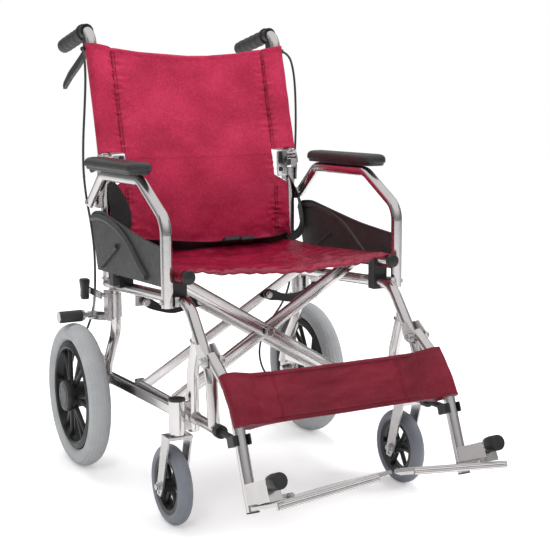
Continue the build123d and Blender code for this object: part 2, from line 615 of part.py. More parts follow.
wheels = {
    "rear_tyre": place_wheel(rear_tyre.part, REAR_WHEEL_X, REAR_AXLE),
    "rear_wheel": place_wheel(rear_wheel.part, REAR_WHEEL_X, REAR_AXLE),
    "caster_tyre": place_wheel(caster_tyre.part, CASTER_STEM[0], CASTER_AXLE),
    "caster_wheel": place_wheel(caster_wheel.part, CASTER_STEM[0], CASTER_AXLE),
}
pairs = {
    "side_tube": side_tube,
    "rear_cane": rear_cane,
    "rear_upright": rear_upright,
    "lower_frame": lower_frame,
    "side_brackets": side_brackets,
    "plastic_fittings": plastic_fittings,
    "armrest_tube": armrest_tube,
    "armrest_pad": armrest_pad,
    "side_guard": side_guard,
    "park_brake_lever": park_brake_lever,
    "park_brake_shoe": park_brake_shoe,
    "hub_brake": hub_brake,
    "caster_fork": caster_fork,
    "hanger_tube": hanger_tube,
    "footplate": footplate,
    "back_cane": back_cane,
    "push_grip": push_grip,
    "brake_perch": brake_perch,
    "brake_lever": brake_lever,
    "back_release": back_release,
    "brake_cable": brake_cable,
    "link_arm": link_arm,
}
right_hand = {name: piece.part for name, piece in pairs.items()} | wheels
for name, part in right_hand.items():
    write(part, f"{name}_right")
    write(mirror(part, about=Plane.YZ), f"{name}_left")
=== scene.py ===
"""Folding transit wheelchair: materials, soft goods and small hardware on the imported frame.

Metres, +Z up, the chair faces -Y and the seated person's left side is +X.
"""

import math

import bmesh
import bpy
from mathutils import Matrix, Vector, noise


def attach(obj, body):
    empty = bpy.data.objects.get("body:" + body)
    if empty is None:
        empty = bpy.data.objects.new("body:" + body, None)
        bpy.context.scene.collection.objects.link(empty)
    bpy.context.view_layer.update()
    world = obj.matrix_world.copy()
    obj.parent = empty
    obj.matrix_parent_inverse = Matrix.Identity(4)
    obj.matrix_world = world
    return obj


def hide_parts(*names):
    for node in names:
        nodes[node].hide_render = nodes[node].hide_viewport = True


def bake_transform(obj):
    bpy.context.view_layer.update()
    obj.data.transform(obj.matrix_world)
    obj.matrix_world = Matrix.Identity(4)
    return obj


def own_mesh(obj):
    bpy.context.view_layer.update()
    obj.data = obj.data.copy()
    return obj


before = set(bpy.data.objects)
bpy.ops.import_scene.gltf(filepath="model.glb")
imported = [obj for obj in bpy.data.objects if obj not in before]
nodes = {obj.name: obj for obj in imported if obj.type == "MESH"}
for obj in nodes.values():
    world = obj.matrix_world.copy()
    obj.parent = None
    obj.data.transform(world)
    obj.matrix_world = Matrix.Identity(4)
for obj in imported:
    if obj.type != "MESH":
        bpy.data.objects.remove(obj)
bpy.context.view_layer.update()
scene = bpy.context.scene

SIDES = {"right": 1, "left": -1}
TUBE_X = 0.218
RAIL_X = 0.2187
HANGER_X = 0.217
WHEEL = (0.279, 0.297, 0.1525)


def placed(name, data):
    """New object in the scene."""
    made = bpy.data.objects.new(name, data)
    scene.collection.objects.link(made)
    return made


# ---- camera ----
YAW, PITCH, ROLL = (math.radians(angle) for angle in (28.01, 8.743, -0.36))
ahead = Vector((math.sin(YAW) * math.cos(PITCH), math.cos(YAW) * math.cos(PITCH), -math.sin(PITCH)))
level = Vector((math.cos(YAW), -math.sin(YAW), 0))
upward = level.cross(ahead)
camera_x = level * math.cos(ROLL) + upward * math.sin(ROLL)
camera_y = upward * math.cos(ROLL) - level * math.sin(ROLL)
camera_data = bpy.data.cameras.new("camera")
camera_data.sensor_fit = "HORIZONTAL"
camera_data.sensor_width = 36
camera_data.lens = 78.2
camera = placed("camera", camera_data)
camera.matrix_world = Matrix.Translation((-1.0773, -2.1018, 0.7803)) @ Matrix(
    (camera_x, camera_y, -ahead)).transposed().to_4x4()
scene.camera = camera


# ---- materials ----
def fixed(node, **sockets):
    """A node with these fixed sockets, named with _ for each space."""
    for socket, value in sockets.items():
        node.inputs[socket.replace("_", " ")].default_value = value
    return node


def coordinates(tree, stretch=(1, 1, 1)):
    """Object coordinates, stretched along the axes."""
    source = tree.nodes.new("ShaderNodeTexCoord")
    mapping = fixed(tree.nodes.new("ShaderNodeMapping"), Scale=stretch)
    tree.links.new(source.outputs["Object"], mapping.inputs["Vector"])
    return mapping.outputs["Vector"]


def noise_field(tree, scale, detail=3.0, stretch=(1, 1, 1), kind="FBM"):
    """Noise from 0 to 1 over the object."""
    texture = fixed(tree.nodes.new("ShaderNodeTexNoise"), Scale=scale, Detail=detail)
    texture.noise_type = kind
    tree.links.new(coordinates(tree, stretch), texture.inputs["Vector"])
    return texture.outputs["Fac"]


def bands(tree, scale, axis):
    """Fine bands along one axis, such as threads or ribs."""
    texture = fixed(tree.nodes.new("ShaderNodeTexWave"), Scale=scale, Distortion=0, Detail=1.0, Detail_Scale=1.5)
    texture.wave_type = "BANDS"
    texture.bands_direction = axis
    tree.links.new(coordinates(tree), texture.inputs["Vector"])
    return texture.outputs["Fac"]


def spread(tree, factor, low, high, start=0.3, end=0.7):
    """Maps a 0 to 1 field onto a range."""
    mapping = tree.nodes.new("ShaderNodeMapRange")
    fixed(mapping, From_Min=start, From_Max=end, To_Min=low, To_Max=high)
    tree.links.new(factor, mapping.inputs["Value"])
    return mapping.outputs["Result"]


def mixed(tree, operation, first, second):
    """Two fields joined by a math operation."""
    node = tree.nodes.new("ShaderNodeMath")
    node.operation = operation
    tree.links.new(first, node.inputs[0])
    tree.links.new(second, node.inputs[1])
    return node.outputs[0]


def colour_ramp(tree, factor, stops):
    """Colour from a field, by (position, colour) stops."""
    ramp = tree.nodes.new("ShaderNodeValToRGB")
    while len(ramp.color_ramp.elements) < len(stops):
        ramp.color_ramp.elements.new(0.5)
    for element, (position, colour) in zip(ramp.color_ramp.elements, stops):
        element.position = position
        element.color = (*colour, 1)
    tree.links.new(factor, ramp.inputs["Fac"])
    return ramp.outputs["Color"]


def shader(name, **sockets):
    """New material whose Principled shader has these fixed sockets."""
    material = bpy.data.materials.new(name)
    material.use_nodes = True
    tree = material.node_tree
    return material, tree, fixed(tree.nodes["Principled BSDF"], **sockets)


def relief(tree, principled, *layers):
    """Stacks bumps, each a (height field, strength, distance)."""
    previous = None
    for height, strength, distance in layers:
        bump = fixed(tree.nodes.new("ShaderNodeBump"), Strength=strength, Distance=distance)
        tree.links.new(height, bump.inputs["Height"])
        if previous:
            tree.links.new(previous, bump.inputs["Normal"])
        previous = bump.outputs["Normal"]
    tree.links.new(previous, principled.inputs["Normal"])


def moulded(name, dark, light, smooth, rough, grain, grain_scale, cloud=30, top=0.75, wear=(90, 4), depth=0.0005,
            **sockets):
    """Plastic or rubber with patchy tone, uneven gloss and a fine moulded texture."""
    material, tree, principled = shader(name, **sockets)
    tone = colour_ramp(tree, noise_field(tree, cloud, 4), ((0.3, dark), (top, light)))
    tree.links.new(tone, principled.inputs["Base Color"])
    tree.links.new(spread(tree, noise_field(tree, *wear), smooth, rough), principled.inputs["Roughness"])
    relief(tree, principled, (noise_field(tree, grain_scale, 2), grain, depth))
    return material


def metal(*values):
    """Metal with uneven polish and a fine grain."""
    return moulded(*values, cloud=22, top=0.7, wear=(60, 5), depth=0.0006, Metallic=1.0)


def cloth(name, shadow, body, bright, axes, roughness, crumple, thread=1150, folds=0.15, **sockets):
    """Woven nylon: threads along two axes, fine creases and patchy tone."""
    material, tree, principled = shader(name, Roughness=roughness, **sockets)
    patches = mixed(tree, "ADD", spread(tree, noise_field(tree, 11, 5), 0, 0.58),
                    spread(tree, noise_field(tree, 230, 4), 0, 0.42))
    tree.links.new(colour_ramp(tree, patches, ((0.25, shadow), (0.5, body), (0.8, bright))),
                   principled.inputs["Base Color"])
    weave = mixed(tree, "MULTIPLY", bands(tree, thread, axes[0]), bands(tree, thread, axes[1]))
    relief(tree, principled, (noise_field(tree, 26, 6), crumple, 0.006),
           (noise_field(tree, 17, 3, (1, 1.5, 1), "RIDGED_MULTIFRACTAL"), folds, 0.005),
           (noise_field(tree, 120, 3), 0.25, 0.001), (weave, 0.25, 0.0004))
    return material


POLISHED = metal("polished_aluminium", (0.68, 0.655, 0.65), (0.74, 0.715, 0.71), 0.15, 0.2, 0.02, 900)
CAST = metal("cast_aluminium", (0.62, 0.605, 0.6), (0.69, 0.675, 0.67), 0.24, 0.34, 0.08, 1400)
PLATE = metal("satin_aluminium", (0.67, 0.65, 0.65), (0.73, 0.71, 0.71), 0.2, 0.27, 0.03, 1200)
STEEL = metal("bright_steel", (0.54, 0.54, 0.55), (0.68, 0.68, 0.69), 0.14, 0.27, 0.08, 1000)
PLASTIC = moulded("black_plastic", (0.012, 0.012, 0.013), (0.022, 0.022, 0.023), 0.3, 0.44, 0.12, 1500)
GUARD_SKIN = moulded("guard_plastic", (0.034, 0.034, 0.034), (0.048, 0.048, 0.047), 0.4, 0.52, 0.3, 1500)
RUBBER = moulded("black_rubber", (0.024, 0.024, 0.024), (0.04, 0.04, 0.04), 0.46, 0.62, 0.2, 1300)
PAD_SKIN = moulded("pad_skin", (0.02, 0.02, 0.021), (0.034, 0.034, 0.034), 0.34, 0.46, 0.35, 900)
TYRE = moulded("grey_tyre", (0.4, 0.415, 0.425), (0.47, 0.485, 0.495), 0.55, 0.7, 0.15, 900)
CASTER_TYRE = moulded("grey_caster_tyre", (0.165, 0.175, 0.205), (0.2, 0.21, 0.245), 0.28, 0.42, 0.05, 700)
SHEEN = {"Sheen_Roughness": 0.35, "Sheen_Tint": (1.0, 0.3, 0.4, 1)}
BACK_CLOTH = cloth("burgundy_back", (0.37, 0.01, 0.046), (0.46, 0.016, 0.064), (0.56, 0.026, 0.088), "XZ", 0.38, 0.36,
                   Sheen_Weight=0.12, Sheen_Roughness=0.35, Sheen_Tint=(1.0, 0.25, 0.4, 1), Specular_IOR_Level=0.4)
SEAT_CLOTH = cloth("burgundy_seat", (0.155, 0.003, 0.017), (0.21, 0.005, 0.025), (0.27, 0.008, 0.035), "XY", 0.22,
                   0.75, folds=0.5, Sheen_Weight=0.05, Specular_IOR_Level=0.5, **SHEEN)
STRAP_CLOTH = cloth("burgundy_strap", (0.115, 0.002, 0.011), (0.15, 0.0035, 0.0155), (0.185, 0.006, 0.021), "XZ",
                    0.42, 0.26, Sheen_Weight=0.08, Specular_IOR_Level=0.35, **SHEEN)
THREAD = moulded("burgundy_thread", (0.045, 0.002, 0.007), (0.08, 0.004, 0.012), 0.5, 0.65, 0.3, 2000)
# painted shade: black cloth for the sheet that stands in for the shade in the gap between seat and back
GAP_SHADE_CLOTH = cloth("black_gap_shade", (0.008, 0.008, 0.009), (0.014, 0.014, 0.015), (0.022, 0.022, 0.023), "XY", 0.62, 0.2,
               Sheen_Weight=0.15)
WEBBING = cloth("black_webbing", (0.008, 0.008, 0.008), (0.014, 0.014, 0.014), (0.024, 0.024, 0.024), "XZ", 0.55,
                0.15, thread=420)


def refinish(node, material):
    """Gives a CAD node this one material."""
    nodes[node].data.materials.clear()
    nodes[node].data.materials.append(material)


for material, names in (
        (POLISHED, "side_tube rear_cane rear_upright lower_frame armrest_tube hanger_tube back_cane"),
        (CAST, "side_brackets caster_fork"), (PLATE, "footplate"), (GUARD_SKIN, "side_guard"),
        (STEEL, "hub_brake park_brake_shoe park_brake_lever"), (TYRE, "rear_tyre"), (CASTER_TYRE, "caster_tyre"),
        (PLASTIC, "plastic_fittings rear_wheel caster_wheel brake_perch brake_lever back_release link_arm"),
        (RUBBER, "armrest_pad push_grip brake_cable")):
    for name in names.split():
        for side in SIDES:
            refinish(f"{name}_{side}", material)
for material, names in ((POLISHED, "brace_a brace_b"), (BACK_CLOTH, "back_upper back_lower"),
                        (SEAT_CLOTH, "seat_sling"), (STRAP_CLOTH, "calf_strap"), (WEBBING, "lap_belt")):
    for name in names.split():
        refinish(name, material)


# ---- mesh building ----
def piece(name, points, faces, material, body=None, sharp=35, slot=None):
    """Mesh object with smooth faces and sharp edges past an angle, riding on a body; its slot is not used."""
    mesh = bpy.data.meshes.new(name)
    mesh.from_pydata([tuple(point) for point in points], [], faces)
    mesh.validate()
    shell = bmesh.new()
    shell.from_mesh(mesh)
    bmesh.ops.recalc_face_normals(shell, faces=shell.faces)
    shell.to_mesh(mesh)
    shell.free()
    mesh.polygons.foreach_set("use_smooth", [True] * len(mesh.polygons))
    if sharp:
        mesh.set_sharp_from_angle(angle=math.radians(sharp))
    mesh.materials.append(material)
    made = placed(name, mesh)
    if body:
        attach(made, body)
    return made


def skin(rings, closed=False, caps=True):
    """Points and faces of a surface through equal rings."""
    count = len(rings[0])
    points = [point for ring in rings for point in ring]
    faces = []
    spans = len(rings) if closed else len(rings) - 1
    for row in range(spans):
        a, b = row * count, (row + 1) % len(rings) * count
        for column in range(count):
            after = (column + 1) % count
            faces.append((a + column, a + after, b + after, b + column))
    if caps and not closed:
        faces.append(tuple(range(count))[::-1])
        faces.append(tuple(range(len(points) - count, len(points))))
    return points, faces


def across(direction):
    """Two unit vectors square to a direction."""
    first = Vector(direction).orthogonal().normalized()
    return first, Vector(direction).cross(first).normalized()


def circle(centre, first, second, radius, count):
    """Ring of points round a centre, on two cross vectors."""
    return [centre + (first * math.cos(turn) + second * math.sin(turn)) * radius
            for turn in (math.tau * step / count for step in range(count))]


def turned(name, profile, origin, axis, material, body, slot=None):
    """Round piece from its (radius, distance along the axis) profile."""
    axis = Vector(axis).normalized()
    first, second = across(axis)
    rings = [circle(Vector(origin) + axis * along, first, second, max(radius, 0.00005), 32)
             for radius, along in profile]
    return piece(name, *skin(rings), material, body, 35, slot)


def bolt(name, origin, axis, size, body):
    """Steel hexagon bolt head on a washer."""
    axis = Vector(axis).normalized()
    first, second = across(axis)
    rings = []
    for radius, along, hexed in ((1.25, 0, 0), (1.25, 0.12, 0), (0.92, 0.16, 0), (0.95, 0.18, 1), (1.0, 0.3, 1),
                                 (1.0, 0.62, 1), (0.86, 0.74, 1), (0.4, 0.74, 1)):
        ring = []
        for step in range(24):
            turn = math.tau * step / 24
            flat = math.cos(math.pi / 6) / math.cos((turn % (math.pi / 3)) - math.pi / 6) if hexed else 1.0
            ring.append(Vector(origin) + axis * along * size
                        + (first * math.cos(turn) + second * math.sin(turn)) * radius * size * flat)
        rings.append(ring)
    return piece(name, *skin(rings), STEEL, body, 25)


def plate(name, width, height, radius, origin, material, body, depth=0.0022, bevel=0.0008):
    """Upright plate with rounded corners and bevelled edges, whose rear face is centred on the origin."""
    base = [Vector(origin) + Vector((a, 0, b)) for a, b in rounded(width, height, radius)]
    made = piece(name, *skin([base, [point - Vector((0, depth, 0)) for point in base]]), material, None, 0)
    shell = bmesh.new()
    shell.from_mesh(made.data)
    bmesh.ops.bevel(shell, geom=[edge for edge in shell.edges if edge.calc_face_angle(0) > 0.5], offset=bevel,
                    segments=2, affect="EDGES", profile=0.5)
    shell.to_mesh(made.data)
    shell.free()
    made.data.set_sharp_from_angle(angle=math.radians(30))
    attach(made, body)


def rounded(width, height, radius, steps=5):
    """Outline of a rounded rectangle about the origin."""
    outline = []
    for corner, (x, y) in enumerate(((1, 1), (-1, 1), (-1, -1), (1, -1))):
        for step in range(steps + 1):
            turn = math.pi / 2 * (corner + step / steps)
            outline.append((x * (width / 2 - radius) + radius * math.cos(turn),
                            y * (height / 2 - radius) + radius * math.sin(turn)))
    return outline


def frames_along(path):
    """Two carried-over cross vectors at each point of a path."""
    first, _ = across(path[1] - path[0])
    frames = []
    for index, _ in enumerate(path):
        before, after = path[max(index - 1, 0)], path[min(index + 1, len(path) - 1)]
        along = (after - before).normalized()
        first = (first - along * first.dot(along)).normalized()
        frames.append((first, along.cross(first)))
    return frames


def hose(path, radius, segments=14):
    """Rings of a round tube along a path."""
    return [circle(point, *pair, radius, segments) for point, pair in zip(path, frames_along(path))]


def merged(*shells):
    """Several (points, faces) shells as one."""
    points, faces = [], []
    for more_points, more_faces in shells:
        faces += [tuple(len(points) + corner for corner in face) for face in more_faces]
        points += more_points
    return points, faces


def mirrored(point, hand):
    """A right-hand point on either side of the chair."""
    return Vector((point[0] * hand, point[1], point[2]))


def smooth_path(points, steps=8):
    """Points along a smooth curve through a few given ones."""
    points = [Vector(point) for point in points]
    line = []
    for index in range(len(points) - 1):
        a, b = points[max(index - 1, 0)], points[index]
        c, d = points[index + 1], points[min(index + 2, len(points) - 1)]
        for step in range(steps):
            t = step / steps
            line.append(0.5 * ((2 * b) + (c - a) * t + (2 * a - 5 * b + 4 * c - d) * t * t
                               + (3 * b - a - 3 * c + d) * t ** 3))
    return line + [points[-1]]


def narrows(made):
    """Gives a piece its own copy of its mesh."""
    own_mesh(made)


# ---- brake cables ----
CABLE_R = 0.0025
CABLE_ROUTE = (
    (0.238, 0.323, 0.879), (0.241, 0.301, 0.872), (0.243, 0.284, 0.850), (0.245, 0.274, 0.812),
    (0.248, 0.274, 0.756), (0.251, 0.280, 0.694), (0.251, 0.288, 0.630), (0.247, 0.290, 0.572),
    (0.241, 0.288, 0.520), (0.238, 0.286, 0.462), (0.238, 0.287, 0.405), (0.237, 0.297, 0.350),
    (0.237, 0.330, 0.302), (0.236, 0.376, 0.262), (0.232, 0.420, 0.218), (0.230, 0.444, 0.168),
    (0.231, 0.430, 0.126), (0.234, 0.395, 0.108), (0.2385, 0.355, 0.112), (0.239, 0.336, 0.120)
)


def cable(side, hand, bow):
    """One attendant brake cable, which bows outward beside the back by this much."""
    route = bpy.data.curves.new("cable_route", "CURVE")
    route.dimensions = "3D"
    route.resolution_u = 10
    spline = route.splines.new("NURBS")
    spline.points.add(len(CABLE_ROUTE) - 1)
    for index, (point, place) in enumerate(zip(spline.points, CABLE_ROUTE)):
        lift = bow * math.sin(math.pi * min(index, 9) / 9)
        point.co = (*mirrored((place[0] + lift, place[1], place[2]), hand), 1)
    spline.order_u = 3
    spline.use_endpoint_u = True
    holder = placed("cable_route", route)
    bpy.context.view_layer.update()
    line = bpy.data.meshes.new_from_object(holder)
    path = [vertex.co.copy() for vertex in line.vertices]
    bpy.data.objects.remove(holder)
    bpy.data.curves.remove(route)
    bpy.data.meshes.remove(line)
    made = piece(f"cable_{side}", *skin(hose(path, CABLE_R)), RUBBER)
    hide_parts(f"brake_cable_{side}")
    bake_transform(made)


for side, bow in (("right", -0.006), ("left", 0.007)):
    cable(side, SIDES[side], bow)

# ---- back cloth: two sleeves over the canes with a seamed panel between them ----
LEAN = Vector((0, 0.2551, 0.9669))
FRONT = Vector((0, -0.9669, 0.2551))
CANE_FOOT = Vector((0, 0.2653, 0.664))
SEAM_X = 0.177
SLEEVE_R = 0.0138
LOWER_TOP = 0.6565


def wrinkle(*place):
    """Smooth noise from about -1 to 1."""
    return noise.fractal(Vector(place), 1.0, 2.0, 3, noise_basis="PERLIN_ORIGINAL")


def ripple(*place):
    """One layer of smooth noise."""
    return noise.noise(Vector(place), noise_basis="PERLIN_ORIGINAL")


def crease(*place):
    """Sharp-ridged noise up to 1, like folded nylon."""
    return 1 - abs(ripple(*place)) * 2


def hang(u):
    """Share of a sag, from 1 in the middle, 0, to nothing at both ends, -1 and 1."""
    return math.cos(u * math.pi / 2)


def near(value, centre, width):
    """Bell from 1 at the centre to 0 a few widths away."""
    return math.exp(-((value - centre) / width) ** 2)


def panel_section(steps=64):
    """Closed section of the panel between the seams, as (x, depth in front of the canes, layer)."""
    places = [-SEAM_X + 2 * SEAM_X * step / steps for step in range(steps + 1)]
    front = [(x, 0.0005 + 0.005 * (x / SEAM_X) ** 2, 1) for x in places]
    return front + [(x, -0.005 + 0.0015 * (x / SEAM_X) ** 2, -1) for x in reversed(places)]


def sleeve_section(reach):
    """Closed section of the sleeve round one cane, starting at the seam."""
    run = reach - 0.004 - SEAM_X
    section = []
    for step in range(6):
        t = step / 6
        section.append((SEAM_X + run * t, 0.0055 + 0.008 * math.sin(t * math.pi / 2), 1))
    for step in range(15):
        turn = math.radians(105 - 210 * step / 14)
        section.append((reach + SLEEVE_R * math.cos(turn), SLEEVE_R * math.sin(turn), 1 if turn > 0 else -1))
    for step in range(6):
        t = 1 - (step + 1) / 6
        section.append((SEAM_X + run * t, -0.0035 - 0.01 * math.sin(t * math.pi / 2), -1))
    return section


def pucker(x, height, layer, strength=1.0):
    """Depth that the stitching and slack add to the back cloth."""
    off = abs(x)
    stitched = -0.003 * near(off, SEAM_X, 0.003) - 0.0018 * near(off, SEAM_X - 0.009, 0.0018)
    gathered = 0.0052 * near(off, SEAM_X + 0.003, 0.008) * ripple(x * 40, height * 190, 3)
    beside = 0.0034 * near(off, SEAM_X - 0.01, 0.012) * ripple(x * 50, height * 130, 7)
    slack = 0.0024 * wrinkle(x * 7, height * 6, layer * 5) + 0.0009 * wrinkle(x * 30, height * 22, 9)
    sleeve = 0.0011 * near(off, 0.218, 0.02) * wrinkle(x * 60, height * 26, 4)
    return (stitched + gathered + beside) * strength + slack + sleeve


def back_top(x):
    """Height along the canes of the top edge, which droops between them."""
    return 0.2095 + 0.0255 * (min(abs(x), 0.232) / 0.232) ** 1.6 + 0.0012 * ripple(x * 24, 4, 1)


def upper_rings(section, hand, levels):
    """Rings of the upper back cloth, each a level from the hinges, 0, to the top edge, 1."""
    rings = []
    for level in levels:
        ring = []
        for x, depth, layer in section:
            x *= hand
            height = level * back_top(x) if level > 0 else level
            if level <= 0 and abs(x) > 0.172:
                x, depth = math.copysign(0.172, x), max(min(depth, 0.003), -0.0045)
            hem = 0.0012 * near(level, 0.985, 0.02) + 0.001 * near(level, 0.012, 0.012) * (abs(x) > 0.19)
            fade = min(1.0, 0.25 + abs(level) * 4)
            tucked = 0.0014 * min(max((-0.0124 - level) / 0.0056, 0), 1)
            away = depth - tucked + (pucker(x, height, layer) * fade + hem) * layer
            ring.append(CANE_FOOT + LEAN * height + FRONT * away + Vector((x, 0, 0)))
        rings.append(ring)
    return rings


def upper_cloth():
    """Upper back cloth: a panel that runs down between the hinges, and a sleeve on each cane above them."""
    rising = [0.0004] + [0.0025 + 0.9975 * step / 72 for step in range(73)]
    tucked_in = [-0.018, -0.0134, -0.0124, -0.008, -0.003, -0.0006]
    for side, hand in SIDES.items():
        piece(f"back_sleeve_{side}", *skin(upper_rings(sleeve_section(TUBE_X), hand, rising)),
                             BACK_CLOTH, f"back_{side}", 50)
    panel = skin(upper_rings(panel_section(), 1, tucked_in + rising))
    made = piece("back_cloth_upper", *panel, BACK_CLOTH, "back_right", 50)
    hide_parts("back_upper")
    narrows(made)


def lower_edge(x):
    """Height of the wavy bottom hem."""
    return 0.46 + 0.016 * max(0, -x / 0.2) + 0.008 * ripple(x * 15, 2, 5)


def lower_reach(drop):
    """Half width of the lower back cloth: between the hinges at its top, wider below them."""
    return 0.172 + 0.029 * min(max((drop - 0.25) * 12, 0), 1) + 0.011 * drop


def lower_spot(x, drop, layer):
    """Point on the front or rear skin of the lower back cloth, with gathered bottom corners."""
    u = x / lower_reach(drop)
    height = LOWER_TOP - drop * (LOWER_TOP - lower_edge(x))
    thick = 0.0024 if abs(u) < 0.999 else 0.0008
    settled = min(drop * 2.2, 1) ** 2 * (3 - 2 * min(drop * 2.2, 1))
    face = (0.0005 + 0.005 * (x / SEAM_X) ** 2) * (1 - settled) + 0.0064 * settled
    low = min(max((drop - 0.55) / 0.45, 0), 1)
    corner = low * near(abs(x), 0.19, 0.05)
    folds = 0.0085 * corner * crease(x * 30 + height * 14, height * 34, 2) - 0.003 * corner
    slack = 0.0055 * low * wrinkle(x * 14, height * 12, 8)
    hem = 0.0014 * near(drop, 0.97, 0.025)
    bow = -0.004 * hang(u) * math.sin(drop * math.pi)
    away = face - thick + layer * (thick + hem) + pucker(x, height - 0.664, 1, 0.9) * min(1, 0.25 + drop * 4)
    ease = 0.0105 * (1 - math.exp(-(0.6522 - height) / 0.045)) - 0.0006 * max(0, height - 0.6522) / 0.0043
    return Vector((x, 0.2625 - ease - away - bow - folds - slack, height))


def lower_cloth():
    """Lower back cloth, from the hinges down to the seat."""
    rings = []
    for step in range(61):
        drop = step / 60
        columns = [lower_reach(drop) * (-1 + 2 * index / 88) for index in range(89)]
        rings.append([lower_spot(x, drop, 1) for x in columns] + [lower_spot(x, drop, -1) for x in reversed(columns)])
    made = piece("back_cloth_lower", *skin(rings), BACK_CLOTH, "frame_right", 50)
    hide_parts("back_lower")
    narrows(made)


# ---- seat sling: sleeves over the two rails and a sagging sheet between ----
RAIL_FRONT = Vector((0, -0.152, 0.459))
RAIL_SLOPE = -0.04945


def rail_z(y):
    """Height of the seat rails' centre lines."""
    return RAIL_FRONT.z + RAIL_SLOPE * (y - RAIL_FRONT.y)


def seat_sling():
    """Sagging nylon seat with a rolled front hem."""
    rings = []
    lengths = [0.0, 0.0015, 0.004, 0.008, 0.013, 0.018, 0.024] + [0.024 + 0.364 * step / 64 for step in range(1, 65)]
    for along in lengths:
        front = min(along / 0.0065, 1)
        roll = math.sqrt(max(1 - (1 - front) ** 2, 0.02))
        hem = near(along, 0.007, 0.009)
        ring = []
        for layer in (1, -1):
            columns = [-1 + 2 * index / 100 for index in range(101)]
            for u in columns if layer == 1 else columns[::-1]:
                x = u * RAIL_X
                bulge = 0.006 * hang(u)
                y = -0.15 - bulge * max(1 - along * 6, 0) + along
                back = max(0, (along - 0.2) / 0.188)
                sag = 0.0205 * (hang(u) ** 0.8 if abs(u) < 1 else 0) * (1 - 0.75 * back ** 2)
                sag -= 0.0085 * back ** 3
                half = (0.0013 + 0.003 * hem * hang(u) ** 0.3 if abs(u) < 1 else 0.001) * roll
                ridges = (crease(x * 11 + y * 7, y * 15 - x * 4, 1.3) * 0.0042 + crease(x * 27, y * 33, 6) * 0.0026
                          + crease(x * 19 - y * 12, y * 21 + x * 16, 11) * 0.0018)
                pleats = 0.0062 * near(along, 0.014, 0.034) * crease(x * 38 + along * 16, along * 14, 4)
                edge = min(1, (1 - abs(u)) * 14)
                uneven = (ridges + pleats - 0.003) * edge * min(along * 60 + 0.35, 1)
                z = rail_z(y) + 0.0125 - sag + layer * half + uneven
                ring.append(Vector((x, y + pleats * 0.5 * edge, z)))
            if layer == 1:
                sleeve = [Vector((RAIL_X + 0.0135 * math.sin(turn), y, rail_z(y) + 0.0135 * math.cos(turn)))
                          for turn in (math.radians(10 + 18 * step) for step in range(12))]
                ring += [point + Vector((0, 0, 0.0007 * wrinkle(point.y * 60, point.z * 50, 1))) for point in sleeve]
        left = [Vector((-point.x, point.y, point.z)) for point in reversed(sleeve)]
        ring += [point + Vector((0, 0, 0.0007 * wrinkle(point.y * 55, point.z * 50, 2))) for point in left]
        rings.append(ring)
    made = piece("seat_cloth", *skin(rings), SEAT_CLOTH, "seat", 50)
    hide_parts("seat_sling")
    narrows(made)


# ---- calf strap ----
STRAP_TOP = Vector((0, -0.2955, 0.3025))
STRAP_HALF = 0.205
STRAP_DOWN = Vector((0, -0.0515, -0.077))
STRAP_FRONT = Vector((0, -0.8312, 0.556))
HANGER_BEND = ((-0.2934, 0.302), (-0.3137, 0.2896), (-0.3284, 0.2769), (-0.3383, 0.2601), (-0.3516, 0.226))


def strap_axis(v):
    """Centre of the hanger tube, and its front normal, from the strap's top edge, 0, to its bottom edge, 1."""
    line = smooth_path([(0, *point) for point in HANGER_BEND], 10)
    spot = v * (len(line) - 1)
    index = min(int(spot), len(line) - 2)
    along = (line[min(index + 2, len(line) - 1)] - line[max(index - 1, 0)]).normalized()
    facing = Vector((0, along.z, -along.y)).lerp(STRAP_FRONT, 0.85).normalized()
    return line[index].lerp(line[index + 1], spot - index), facing


def strap_slack(x, v):
    """How uneven the strap's front face is."""
    return 0.0028 * wrinkle(x * 9, v * 2.2, 3) + 0.0016 * crease(x * 14 + v * 2, v * 1.4, 5)


def calf_strap():
    """Strap that loops round both hanger tubes, with hems and two stitched lines at each end."""
    rings = []
    for step in range(33):
        v = step / 32
        (axis, facing), flat = strap_axis(v), STRAP_TOP + STRAP_DOWN * v
        stand = 0.0105 * abs(2 * v - 1) ** 1.6
        axis = axis + facing * stand
        rim = 0.0009 * (near(v, 0.05, 0.035) + near(v, 0.95, 0.035))
        ring = []
        for index in range(97):
            u = -1 + index / 48
            x = u * STRAP_HALF
            side = max(0, (abs(u) - 0.72) / 0.28) ** 1.5
            centre = flat.lerp(axis, side)
            away = 0.0105 + 0.002 * side + strap_slack(x, v) * (1 - side) + rim - 0.006 * hang(u)
            stitch = -0.0024 * (near(abs(x), 0.128, 0.0018) + near(abs(x), 0.17, 0.0018))
            ring.append(centre + STRAP_FRONT.lerp(facing, side) * (away + stitch) + Vector((x, 0, 0)))
        loop = []
        for index in range(13):
            turn = math.radians(70 - 160 * index / 12)
            loop.append(axis + Vector((HANGER_X + 0.0127 * math.cos(turn), 0, 0)) + facing * 0.0127 * math.sin(turn))
        ring += loop
        for index in range(97):
            u = 1 - index / 48
            x = u * 0.19
            side = abs(u) ** 8
            centre = flat.lerp(axis, side)
            slack = 0.0028 * wrinkle(x * 9, v * 2.2, 3)
            away = 0.0078 - (0.02 + stand) * side + slack * (1 - side) - 0.006 * hang(u)
            ring.append(centre + STRAP_FRONT.lerp(facing, side) * away + Vector((x, 0, 0)))
        ring += [Vector((-point.x, point.y, point.z)) for point in reversed(loop)]
        rings.append(ring)
    made = piece("calf_strap_cloth", *skin(rings), STRAP_CLOTH, "hanger_right", 50)
    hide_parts("calf_strap")
    narrows(made)


